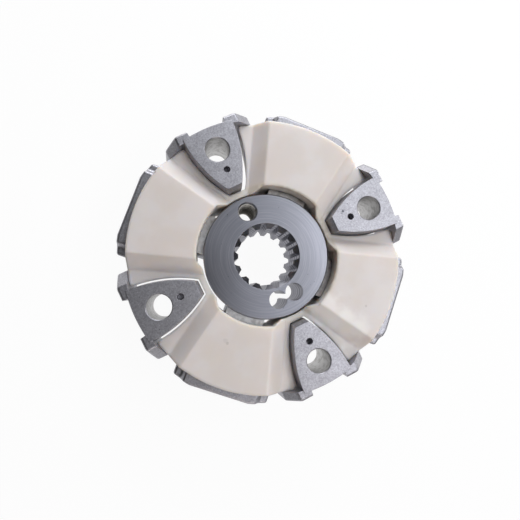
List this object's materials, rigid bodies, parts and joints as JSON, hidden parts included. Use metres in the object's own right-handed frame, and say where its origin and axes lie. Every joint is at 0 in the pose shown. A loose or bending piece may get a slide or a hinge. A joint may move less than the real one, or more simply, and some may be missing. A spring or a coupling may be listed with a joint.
{
  "type": "pump drive coupling",
  "caption": "Torsionally stiff flange coupling: a moulded ring with cast wedge inserts that alternate between a flywheel bolt face and the arms of a splined steel hub.",
  "frame": {"origin": "on the coupling's axis, in the plane it rests on: the outer ends of the four hub screw heads", "axes": "+Z along the axis, from the pump side to the flywheel side; +X through the middle of flywheel insert 1"},
  "size_m": [0.2216, 0.2218, 0.0825],
  "materials": {
    "element": "moulded thermoplastic, satin",
    "insert": "as cast, fine grain",
    "hub": "turned",
    "screw": "black oxide",
    "washer": "black oxide",
    "pin": "phosphated spring steel"
  },
  "bodies": {
    "root": {"element": "element", "flywheel_insert_1": "insert", "flywheel_insert_2": "insert", "flywheel_insert_3": "insert", "flywheel_insert_4": "insert", "hub": "hub", "hub_insert_1": "insert", "hub_insert_2": "insert", "hub_insert_3": "insert", "hub_insert_4": "insert", "hub_pin_1": "pin", "hub_pin_2": "pin", "hub_pin_3": "pin", "hub_pin_4": "pin", "hub_screw_1": "screw", "hub_screw_2": "screw", "hub_screw_3": "screw", "hub_screw_4": "screw", "hub_screw_washer_1": "washer", "hub_screw_washer_2": "washer", "hub_screw_washer_3": "washer", "hub_screw_washer_4": "washer"}
  },
  "joints": []
}
